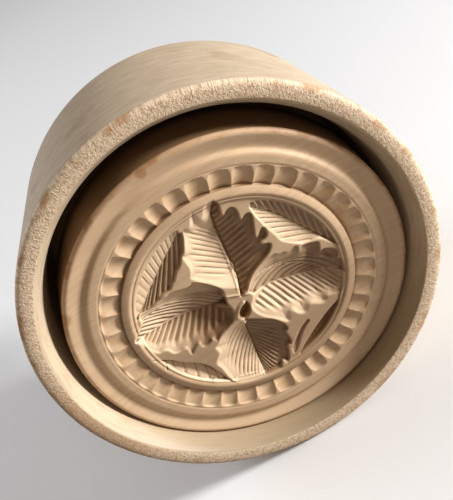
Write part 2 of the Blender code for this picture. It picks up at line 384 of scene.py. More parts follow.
# Levels are measured from the rim. The bore flares at the mouth, narrows to a neck behind the flare,
# and has a bed where the print slides.
caseSizes = {
    "mouthBore": 52.197 * mm, "rimWall": 4.6 * mm, "rimLand": 1.4 * mm, "rimSetback": 2.2 * mm,
    "noseRound": 0.5, "noseTurn": (0.12, pi / 2 - 0.02), "noseDrop": 0.4 * mm, "lipEdge": 0.3 * mm,
    "flareIn": 2.45 * mm, "flareDeep": 5.0 * mm, "flareBend": 1.25, "flareFoot": 1.5 * mm,
    "neckIn": 3.7 * mm, "neckDeep": 15 * mm, "sideLength": 49.5 * mm,
    "shoulderRadius": 33 * mm, "shoulderTurn": radians(27), "edgeRadius": 9 * mm, "edgeTurn": radians(78),
    "collarFoot": -70.097 * mm, "collarEnd": -72.297 * mm, "collarRadius": 19 * mm, "floor": -60.097 * mm,
    "floorRadius": 48.1 * mm, "boreDraft": radians(0.5), "boreCorner": 5 * mm, "holeRadius": 12.225 * mm,
    "holeChamfer": 0.8 * mm, "steps": 512,
    "wear": 0.18 * mm, "wearStart": -8 * mm, "wearFull": -1 * mm, "boreWearShare": 0.6, "margin": 0.5 * mm,
    "bedRadius": 47.7 * mm, "bedBlend": 1 * mm, "bedEnd": -55 * mm, "bedFade": 5 * mm,
}


def caseOutline(s):
    # from the rim over the nose and the side to the collar, and back through the hole and the bore
    mouth, lip, deep = s["mouthBore"], s["lipEdge"], s["flareDeep"]
    noseReach = s["rimWall"] - s["rimLand"]
    outer = [(mouth + s["rimLand"] + noseReach * sin(a) ** s["noseRound"],
              -s["rimSetback"] * (1 - cos(a) ** s["noseRound"])) for a in np.linspace(*s["noseTurn"], 14)]
    outer.append((mouth + s["rimWall"], -s["rimSetback"] - s["noseDrop"]))
    sideEnd = -s["rimSetback"] - s["sideLength"]
    sideRadius = mouth + s["rimWall"] - s["sideLength"] * tan(lie)
    outer += line(outer[-1], (sideRadius, sideEnd), 16)[1:-1]
    shoulder = s["shoulderTurn"]
    outer += arc((sideRadius - s["shoulderRadius"] * cos(lie), sideEnd + s["shoulderRadius"] * sin(lie)),
                 s["shoulderRadius"], -lie, -shoulder, 8)
    edge, edgeStart = s["edgeRadius"], outer[-1]
    outer += arc((edgeStart[0] - edge * cos(shoulder), edgeStart[1] + edge * sin(shoulder)), edge,
                 -shoulder, -s["edgeTurn"], 8)[1:]
    outer += line(outer[-1], (s["collarRadius"], s["collarFoot"]), 8)[1:]
    chamfer = s["holeChamfer"]
    outer += line(outer[-1], (s["collarRadius"], s["collarEnd"] + chamfer), 2)[1:]
    outer += arc((s["collarRadius"] - chamfer, s["collarEnd"] + chamfer), chamfer, 0, -pi / 2, 3)[1:]
    hole = s["holeRadius"]
    inner = [(hole + chamfer, s["collarEnd"])]
    inner += line((hole, s["collarEnd"] + chamfer), (hole, s["floor"] - chamfer), 4)
    corner = (s["floorRadius"] - s["boreCorner"], s["floor"] + s["boreCorner"])
    inner += line((hole + chamfer, s["floor"]), (corner[0], s["floor"]), 8)[:-1]
    inner += arc(corner, s["boreCorner"], -pi / 2, -s["boreDraft"], 8)
    throat = mouth - s["flareIn"]
    inner += line(inner[-1], (mouth - s["neckIn"], -s["neckDeep"]), 12)[1:]
    inner += line(inner[-1], (throat, -deep - s["flareFoot"]), 6)[1:]
    # the flared mouth: nearly straight, easing into the bore below and a small lip above
    reach = s["flareIn"] - lip * 0.5
    inner += [(throat + reach * (1 - share) ** s["flareBend"], -deep * share - lip * 0.35)
              for share in np.linspace(0.9, 0.06, 10)]
    inner += [(mouth + lip * 0.1, -lip * 0.3), (mouth + lip, 0)]
    return outer + inner


def makeCase(s):
    bm = bmesh.new()
    turn(bm, caseOutline(s), s["steps"], closed=True)
    bmesh.ops.recalc_face_normals(bm, faces=bm.faces)
    landStart = s["mouthBore"] + s["lipEdge"] * 0.5
    # the rim is end grain, and the bore and the floor have the bore's wood
    for face in bm.faces:
        middle = face.calc_center_median()
        reach = middle.xy.length
        inward = middle.xy.dot(face.normal.xy) < 0
        if middle.z > -s["rimSetback"] * 0.8 and reach > landStart:
            face.material_index = 1
        elif middle.z > s["floor"] - s["margin"] and (inward or reach < s["floorRadius"] * 0.9):
            face.material_index = 2
    # uneven wear takes a little off the mouth, outside and inside
    places = np.array([vert.co for vert in bm.verts])
    turned = np.arctan2(places[:, 1], places[:, 0])
    atMouth = easeStep(s["wearStart"], s["wearFull"], places[:, 2])
    inwards, drops = ((wobble(turned, seed) + 1) / 2 * atMouth * s["wear"] for seed in (1, 2))
    for vert, pull, drop in zip(bm.verts, inwards, drops):
        outside = vert.co.xy.length > landStart + s["margin"]
        vert.co.xy *= 1 - (pull if outside else -pull * s["boreWearShare"]) / vert.co.xy.length
        vert.co.z -= drop
    # the print has worn a level bed for its slide in the bore
    toPrint = plungerPlace.inverted() @ casePlace
    toCase = toPrint.inverted()
    for vert in bm.verts:
        spot = toPrint @ vert.co
        reach = spot.xy.length
        near = max(s["bedBlend"] - abs(reach - s["bedRadius"]), 0) / s["bedBlend"]
        wide = max(reach, s["bedRadius"]) + near ** 2 * s["bedBlend"] / 4
        spot.xy *= 1 + easeStep(s["bedEnd"], s["bedEnd"] + s["bedFade"], spot.z) * (wide / reach - 1)
        vert.co = toCase @ spot
    return finishMesh(bm, "caseBody", casePlace, "case", "case",
                      [makeSideWood(caseLook), makeEndGrain(caseLook), makeBoreWood(caseLook)])


# Handle
handleSizes = {
    "thickness": 17 * mm, "tenonRadius": 8 * mm, "tenonLength": 10 * mm, "stemRadius": 11 * mm,
    "knobRadius": 19 * mm, "knobHalf": 13 * mm, "knobFlat": 5 * mm, "cove": 3 * mm, "seatGap": 0.3 * mm,
    "cornerCut": 0.5 * mm, "steps": 160,
}
handleLook = {"wood": (0.60, 0.44, 0.28), "streak": (0.42, 0.28, 0.16), "worn": (0.70, 0.55, 0.37),
              "roughness": 0.5}


def makeHandleWood(look):
    # grain along the handle, turning rings and patches worn pale by hands
    wood = Finish("handleTurned", plungerPlace, look["roughness"])
    grain = wood.streaks(9, wood.z * 0.05, 4)
    rings = wood.streaks(3, wood.z * 1.6, 3)
    colour = wood.mix(wood.rise(grain, 0.38, 0.68), look["wood"], look["streak"])
    colour = wood.mix(wood.rise(rings, 0.5, 0.75) * 0.4, colour, look["streak"])
    colour = wood.mix(wood.rise(wood.blotches(9), 0.5, 0.7) * 0.5, colour, look["worn"])
    wood.paint(colour)
    wood.emboss(grain * 0.5 + rings * 0.5, depth=0.08)
    return wood.material


def handleOutline(s, end):
    # from the tenon's end over its shoulder, the stem and the cove to the knob's flat
    shoulder, cut = -s["thickness"] - s["seatGap"], s["cornerCut"]
    tenonTop = shoulder + s["tenonLength"]
    start = asin((s["stemRadius"] + s["cove"]) / s["knobRadius"])
    stop = pi - asin(s["knobFlat"] / s["knobRadius"])
    squash = s["knobHalf"] / s["knobRadius"]
    ballZ = end + s["knobHalf"] * sin(stop - pi / 2)
    knobZ = ballZ + s["knobHalf"] * cos(start)
    ball = arc((0, ballZ), s["knobRadius"], pi / 2 - start, pi / 2 - stop, 28, squash)
    cove = arc((s["stemRadius"] + s["cove"], knobZ + s["cove"]), s["cove"], pi, 1.5 * pi, 6)
    stem = line((s["stemRadius"], shoulder - cut), (s["stemRadius"], knobZ + s["cove"]), 16)
    tenon = [(0, tenonTop), (s["tenonRadius"] - cut, tenonTop), (s["tenonRadius"], tenonTop - cut),
             (s["tenonRadius"], shoulder), (s["stemRadius"] - cut, shoulder)]
    return tenon + stem + cove[1:] + ball[1:] + [(0, ball[-1][1])]


def makeHandle(s):
    back = plungerPlace.translation.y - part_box("handle")[1].y
    bm = bmesh.new()
    turn(bm, handleOutline(s, back), s["steps"])
    return finishMesh(bm, "handleTurning", plungerPlace, "plunger", "handle", [makeHandleWood(handleLook)])


# Print: one turned and carved piece, made as a carved middle and the rings round it
printSizes = {
    "fieldDepth": 0.75 * mm, "beadOuter": 32.3 * mm, "scoopOuter": 38.2 * mm, "radius": 47.5 * mm,
    "edgeRound": 1.2 * mm, "thickness": 17 * mm, "backChamfer": 1 * mm, "socket": 8.3 * mm,
    "socketDepth": 10.3 * mm, "sideRows": (-5 * mm, -11 * mm), "faceDepth": 0.6 * mm,
    "plugDepth": 6.35 * mm, "plugGap": 0.02 * mm, "plugTaper": 0.1 * mm, "seam": 0.05 * mm,
    "gouge": 5.2 * mm, "scoopStart": 0.5 * mm, "scoopEnd": 1.35 * mm, "entryShare": 0.10,
    "unevenShares": (0.88, 1.1), "seed": 7, "grid": 304, "patternTurn": radians(-28.75),
    "softShare": 0.3, "softReach": 1, "creaseReach": 3, "toneReach": 2,
}
# the face from the middle outwards, radius and level in mm: field, its lip, knife line, bead
beadProfile = ((0, -0.75), (28.69, -0.75), (28.90, -0.40), (29.11, -0.34), (29.33, -0.33), (29.54, -0.52),
               (29.75, -0.27), (29.96, -0.15), (30.18, -0.06), (30.39, 0), (30.60, -0.015), (30.81, -0.05),
               (31.24, -0.14), (31.66, -0.26), (32.09, -0.39), (32.3, -0.50))
# land under the scoops, knife line, inner band, soft step, hollow outer band
bandProfile = ((32.3, -0.50), (32.45, -0.45), (33.3, -0.25), (34.5, -0.15), (35.0, -0.12), (38.0, -0.10),
               (38.15, -0.14), (38.30, -0.22), (38.65, 0), (39.4, 0),
               (40.4, 0), (41.0, -0.02), (41.4, -0.18), (41.8, -0.50), (42.2, -0.80), (42.5, -0.92),
               (42.8, -0.93), (43.4, -0.84), (44.3, -0.61), (45.2, -0.36), (45.9, -0.18), (46.3, -0.11))
# rows of points across the bands: first radius, last radius, how many
bandRows = ((32.3, 32.7, 4), (33.0, 38.0, 21), (38.15, 38.30, 2), (38.65, 38.65, 1), (39.0, 41.0, 4),
            (41.25, 42.5, 7), (43, 46, 6))
# the ridges between scoops, in degrees round the print
scoopEdges = (322.1, 312.9, 303.8, 294.1, 285.3, 276.6, 267.8, 258.4, 248.9, 239.6, 231.5, 222.5, 213.9,
              205.0, 197.3, 189.3, 179.9, 171.1, 161.8, 152.2, 142.2, 133.0, 123.0, 113.2, 103.7, 95.3,
              85.5, 75.7, 66.0, 56.8, 47.7, 38.0, 28.4, 19.1, 9.2, 0.1, 350.8, 342.0, 332.2)
leafUnit = 1.0766 * mm  # one unit of the traced leaves
eyeOverFace = (16.2 * mm, 136.2 * mm, 183.4 * mm)  # the camera from the print's middle: across, up and off it
# the print's side colour is painted shade, the dark carving colour is grime and painted shade, and the pale
# one is painted light
printLook = {
    "wood": (0.66, 0.47, 0.30), "streak": (0.55, 0.37, 0.22), "stain": (0.38, 0.19, 0.08),
    "side": (0.20, 0.115, 0.055), "carved": (0.61, 0.44, 0.28), "grimeAndShade": (0.17, 0.075, 0.022),
    "paintedLight": (0.84, 0.63, 0.43), "scoopStain": (0.56, 0.32, 0.14), "roughness": 0.5,
    "grainScale": (0.07, 0.8, 0.15),
    "spots": (((-3.5, 46.4, 0), 1.5), ((17.3, 43.0, 0), 0.9), ((-41, 23, 0), 2.5)),
}


def makePrintWood(name, look, carved):
    # grain across the face. The carved middle gets grime and painted shade by depth and in creases, a painted
    # highlight on ridges, painted light on leaf halves that face the lamp and painted shade on those that
    # face away, and is darker towards the bottom. The rings get stains, partly painted shade at the edge,
    # painted shade at the bead's foot and on the side, and painted light low on the outer band.
    wood = Finish(name, plungerPlace, look["roughness"])
    along = wood.add("ShaderNodeMapping", {},
                     {"Vector": wood.point, "Rotation": (0, 0, -printSizes["patternTurn"]),
                      "Scale": look["grainScale"]})
    grain = wood.noise(along, 4)
    fine = wood.streaks(14, wood.r * 1.6 + wood.z, 3)
    patches = wood.blotches(8)
    base = wood.mix(wood.rise(wood.r, 30.2, 29.2), look["wood"], look["carved"])
    colour = wood.mix(wood.rise(grain, 0.38, 0.68) * 0.6, base, look["streak"])
    colour = wood.mix(wood.rise(patches, 0.52, 0.72) * 0.35, colour, look["streak"])
    if carved:
        crease = wood.add("ShaderNodeAttribute", {"attribute_name": "crease"}, output="Fac")
        paintedShading = wood.add("ShaderNodeAttribute", {"attribute_name": "paintedShading"}, output="Fac")
        # darker towards the bottom of the carving
        colour = wood.mix(wood.rise(wood.up, 6, -12) * 0.38, colour, look["grimeAndShade"])
        # painted light on leaf halves that face the lamp, painted shade on those that face away
        colour = wood.mix(wood.rise(paintedShading, 0, -1) * 0.75, colour, look["paintedLight"])
        colour = wood.mix(wood.rise(paintedShading, 0, 1) * 0.84, colour, look["grimeAndShade"])
        # patina and painted shade in the deeper hollows
        colour = wood.mix(wood.rise(wood.z, -1.6, -5.2) * 0.35, colour, look["grimeAndShade"])
        # painted shade in creases, and a painted highlight on ridges
        colour = wood.mix(wood.rise(crease, 0.02, 0.26) * 0.8, colour, look["grimeAndShade"])
        colour = wood.mix(wood.rise(crease, -0.03, -0.2) * 0.25, colour, look["paintedLight"])
    else:
        for place, size in look["spots"]:
            spot = wood.rise(wood.awayFrom(place) + (patches - 0.5) * 4, size, size * 0.4)
            colour = wood.mix(spot * 0.75, colour, look["stain"])
        # stains round the outer edge, partly painted shade beside the gap
        edge = wood.rise(wood.r, 45.9, 47.2) * wood.rise(wood.blotches(5), 0.5, 0.62)
        colour = wood.mix(edge * 0.6 + wood.rise(wood.r, 45.8, 47.0) * 0.3, colour, look["stain"])
        # painted light low on the outer band, standing for light bounced from the bore
        low = wood.rise(wood.up, -8, -34) * wood.rise(wood.r, 41.5, 43)
        colour = wood.mix(low * 0.4, colour, look["paintedLight"])
        scoops = wood.rise(wood.r, 38.3, 37.6) * wood.rise(wood.blotches(4), 0.52, 0.66)
        colour = wood.mix(scoops * 0.4, colour, look["scoopStain"])
        # painted shade at the foot of the bead
        colour = wood.mix(wood.rise(wood.r, 33.6, 32.4) * 0.65, colour, look["grimeAndShade"])
        # painted shade on the print's side inside the case
        side = wood.rise(wood.z, -0.9, -1.7) * wood.rise(wood.r, 46.8, 47.3)
        colour = wood.mix(side, colour, look["side"])
    wood.paint(colour)
    wood.emboss(grain * 0.5 + fine * 0.5, depth=0.07)
    return wood.material


def scoopDepth(r, angle, s):
    # a round gouge, entering at the outer knife line and deepest at the bead
    edges = np.radians(np.sort(scoopEdges))
    edges = np.concatenate([edges[-1:] - 2 * pi, edges, edges[:1] + 2 * pi])
    place = np.interp(angle % (2 * pi), edges, np.arange(len(edges)))
    which = place.astype(int) % len(scoopEdges)
    uneven = np.random.default_rng(s["seed"]).uniform(*s["unevenShares"], len(scoopEdges))[which]
    width = 2 * pi * r / len(scoopEdges)
    aside = (place % 1 - 0.5) * width
    sag = s["gouge"] - np.sqrt(np.clip(s["gouge"] ** 2 - aside ** 2, 0, None))
    along = np.clip((s["scoopOuter"] - r) / (s["scoopOuter"] - s["beadOuter"]), 0, 1)
    tool = s["scoopStart"] * easeStep(0, s["entryShare"], along) + (s["scoopEnd"] - s["scoopStart"]) * along
    depth = np.clip(tool * uneven - sag, 0, None)
    return np.where((r < s["scoopOuter"]) & (r > s["beadOuter"] + s["seam"]), depth, 0)


def sharpen(bm, radius, level):
    # a crisp edge where the two meshes of the print meet
    near = 2 * mergeReach
    for edge in bm.edges:
        if all(abs(v.co.xy.length - radius) < near and abs(v.co.z - level) < near for v in edge.verts):
            edge.smooth = False


def makePrintBody(s):
    profile = np.array(bandProfile) * mm
    rows = np.concatenate([np.linspace(*row) for row in bandRows]) * mm
    radius, edge, chamfer, back = s["radius"], s["edgeRound"], s["backChamfer"], -s["thickness"]
    outline = [(0, -s["plugDepth"]), (s["beadOuter"], -s["plugDepth"])]
    outline += list(zip(rows, np.interp(rows, profile[:, 0], profile[:, 1])))
    outline += arc((radius - edge, profile[-1, 1] - edge), edge, pi / 2, 0, 6)
    outline += [(radius, level) for level in (*s["sideRows"], back + chamfer)]
    outline += [(radius - chamfer, back), (s["socket"], back), (s["socket"], back + s["socketDepth"]),
                (0, back + s["socketDepth"])]
    bm = bmesh.new()
    turn(bm, outline, 4 * s["grid"])
    places = np.array([vert.co for vert in bm.verts])
    depth = scoopDepth(np.hypot(places[:, 0], places[:, 1]), np.arctan2(places[:, 1], places[:, 0]), s)
    for vert, cut in zip(bm.verts, np.where(places[:, 2] > -s["faceDepth"], depth, 0)):
        vert.co.z -= cut
    sharpen(bm, s["beadOuter"], profile[0, 1])
    finish = makePrintWood("printFace", printLook, False)
    return finishMesh(bm, "printBody", plungerPlace, "print", "carved_print", [finish])


def smoothLine(points, times=2):
    # rounds a line by cutting its corners
    path = np.array(points, float)
    for cutting in range(times):
        start, end = path[:-1], path[1:]
        cut = np.empty((2 * len(start), 2))
        cut[0::2] = 0.75 * start + 0.25 * end
        cut[1::2] = 0.25 * start + 0.75 * end
        path = np.vstack([path[:1], cut[1:-1], path[-1:]])
    return path


def distanceTo(path, points):
    # distance from each point to a line of segments, and how far along it that is, 0 to 1
    best = np.full(len(points), 1e9)
    where = np.zeros(len(points))
    lengths = np.linalg.norm(np.diff(path, axis=0), axis=1)
    reached = np.concatenate([[0], np.cumsum(lengths)])
    for start, end, length, before in zip(path[:-1], path[1:], lengths, reached):
        along = np.clip(((points - start) @ (end - start)) / max(length ** 2, 1e-18), 0, 1)
        away = np.linalg.norm(points - start - along[:, None] * (end - start), axis=1)
        closer = away < best
        best = np.where(closer, away, best)
        where = np.where(closer, before + along * length, where)
    return best, where / reached[-1]


def isInside(outline, points):
    # a point is inside where a line across from it crosses the outline an odd number of times
    odd = np.zeros(len(points), bool)
    for (x1, y1), (x2, y2) in zip(outline, np.roll(outline, -1, axis=0)):
        if y1 == y2:
            continue
        crosses = (y1 > points[:, 1]) != (y2 > points[:, 1])
        odd ^= crosses & (points[:, 0] < (x2 - x1) * (points[:, 1] - y1) / (y2 - y1) + x1)
    return odd


def toFace(points, depth):
    # traced points to metres on the face; one that lies deeper is moved down its line of sight
    points = np.array(points, float) * leafUnit
    turnCos, turnSin = cos(printSizes["patternTurn"]), sin(printSizes["patternTurn"])
    turned = points @ np.array(((turnCos, turnSin), (-turnSin, turnCos)))
    depth = np.asarray(depth, float).reshape(-1, 1)
    return turned + (turned - eyeOverFace[:2]) * depth / eyeOverFace[2]


def readAt(values, shares):
    # values that stand evenly from 0 to 1, read at shares between them
    return np.interp(shares, np.linspace(0, 1, len(values)), values)


# what every half of a leaf has unless it says otherwise, and how veins, lines and tones fade
leafHabits = {"wall": 1.6, "veinWidth": 0.4, "veinReach": (0.6, 0.85)}
carving = {
    "fan": (-0.25, 1.25, 160), "veinFoot": (0, 0.08), "ribToneShare": 0.72, "ribToneReach": (0.1, 0.6),
    "lineFoot": (0, 0.08), "lineTip": (0.7, 0.95), "lineRoom": 1 * mm,
}


def veinPlace(rib, points, footAngle, tipAngle, bend, reach):
    # which vein a point lies on: its place along the rib, found by the fan of veins that leave it
    shares = np.linspace(*carving["fan"])
    lengths = np.concatenate([[0], np.cumsum(np.linalg.norm(np.diff(rib, axis=0), axis=1))])
    whole = lengths[-1]
    inner = np.clip(shares, 0, 1)
    spots = np.stack([np.interp(inner, lengths / whole, rib[:, k]) for k in range(2)], 1)
    footWay = (rib[1] - rib[0]) / np.linalg.norm(rib[1] - rib[0])
    tipWay = (rib[-1] - rib[-2]) / np.linalg.norm(rib[-1] - rib[-2])
    spots += np.minimum(shares, 0)[:, None] * whole * footWay
    spots += np.maximum(shares - 1, 0)[:, None] * whole * tipWay
    angles = printSizes["patternTurn"] + np.radians(footAngle + (tipAngle - footAngle) * inner)
    unmet = -1.0
    result = np.full(len(points), unmet)
    previous = None
    for share, spot, angle in zip(shares, spots, angles):
        off = points - spot
        far = np.linalg.norm(off, axis=1)
        way = angle + radians(bend) * far / reach
        cross = off[:, 0] * np.sin(way) - off[:, 1] * np.cos(way)
        ahead = off[:, 0] * np.cos(way) + off[:, 1] * np.sin(way) > 0
        if previous is not None:
            lastShare, lastCross, lastAhead = previous
            hit = (np.sign(cross) != np.sign(lastCross)) & (ahead | lastAhead) & (result == unmet)
            mix = np.abs(lastCross) / (np.abs(lastCross) + np.abs(cross) + 1e-12)
            result = np.where(hit, lastShare + (share - lastShare) * mix, result)
        previous = (share, cross, ahead)
    return result


def carveSide(points, level, paintedShading, cut, s):
    # one half of a leaf: a hollow that falls from its edge to its rib, with knife-cut or raised veins
    cut = {**leafHabits, **cut}
    ribDepths = readAt(cut["ribDepth"], np.linspace(0, 1, len(cut["rib"]))) * mm
    rib = smoothLine(toFace(cut["rib"], s["fieldDepth"] + ribDepths))
    edge = smoothLine(toFace(cut["edge"], s["fieldDepth"]))
    outline = np.vstack([edge, rib[::-1]])
    low, high = outline.min(0), outline.max(0)
    spots = np.where(np.all((points > low) & (points < high), axis=1))[0]
    spots = spots[isInside(outline, points[spots])]
    here = points[spots]
    ribAway, ribShare = distanceTo(rib, here)
    edgeAway = distanceTo(edge, here)[0]
    share = ribAway / (ribAway + edgeAway + 1e-9)
    shallow, deep = cut["edgeDepth"] * mm, readAt(cut["ribDepth"], ribShare) * mm
    hollow = shallow + (deep - shallow) * (1 - share)
    if "veins" in cut:
        count, footAngle, tipAngle, bend = cut["veins"]
        place = veinPlace(rib, here, footAngle, tipAngle, bend, (ribAway + edgeAway).max())
        across = np.abs((place * count % 1.0) * 2 - 1)
        vein = np.clip(1 - (1 - across) / cut["veinWidth"], 0, 1)
        fade = easeStep(*carving["veinFoot"], share) * (1 - easeStep(*cut["veinReach"], share))
        hollow += cut["veinDepth"] * mm * vein * fade
    if "bank" in cut:
        hollow = np.minimum(hollow, ribAway * cut["bank"])
    carved = np.maximum(-s["fieldDepth"] - np.maximum(hollow, 0), level[spots] - edgeAway * cut["wall"])
    # the painted shade on dark halves is a little lighter along the rib
    tones, ribTone = readAt(cut["paintedShading"], ribShare), carving["ribToneShare"]
    tones *= np.where(tones > 0, ribTone + (1 - ribTone) * easeStep(*carving["ribToneReach"], share), 1)
    paintedShading[spots] = np.where(carved < level[spots], tones, paintedShading[spots])
    level[spots] = np.minimum(level[spots], carved)


def cutLine(points, level, groove, s):
    # a knife line of its own, or a raised one where its depth is below zero
    under = readAt(groove["under"], np.linspace(0, 1, len(groove["line"]))) * mm
    path = smoothLine(toFace(groove["line"], s["fieldDepth"] + under))
    low, high = path.min(0) - carving["lineRoom"], path.max(0) + carving["lineRoom"]
    near = np.where(np.all((points > low) & (points < high), axis=1))[0]
    away, share = distanceTo(path, points[near])
    ends = easeStep(*carving["lineFoot"], share) * (1 - easeStep(*carving["lineTip"], share))
    level[near] -= groove["depth"] * mm * np.clip(1 - away / (groove["width"] / 2 * mm), 0, 1) * ends


# the ribs run from the print's middle, or along the bead, to the leaves' tips
topRib = [(-1.2, 2.6), (-1.8, 7), (-3, 11), (-4.8, 15.5), (-6.5, 20), (-8.2, 24.4), (-7.7, 27.6)]
rightRib = [(2.8, 0.5), (6, 2.4), (9, 3.4), (13, 4), (18, 4.6), (23, 5), (26.7, 3.5)]
bottomRib = [(0.4, -7.4), (1.5, -10.5), (2.8, -14), (4, -18), (5.2, -21.4), (6.1, -24.3), (6.2, -25.5)]
leftRib = [(-4.4, -0.7), (-8, -1.1), (-12, -1.7), (-16, -2.9), (-20, -4.7), (-24, -7), (-27, -8.8)]
upperRightRib = [(24, 11.7), (21, 13.6), (17, 16.2), (13, 19), (8, 22.4), (4, 24.2), (1.6, 25)]
upperLeftRib = [(-15.6, 20.2), (-17.2, 17), (-19.2, 13.4), (-21.6, 8.4), (-24, 3), (-26.4, -2.2)]
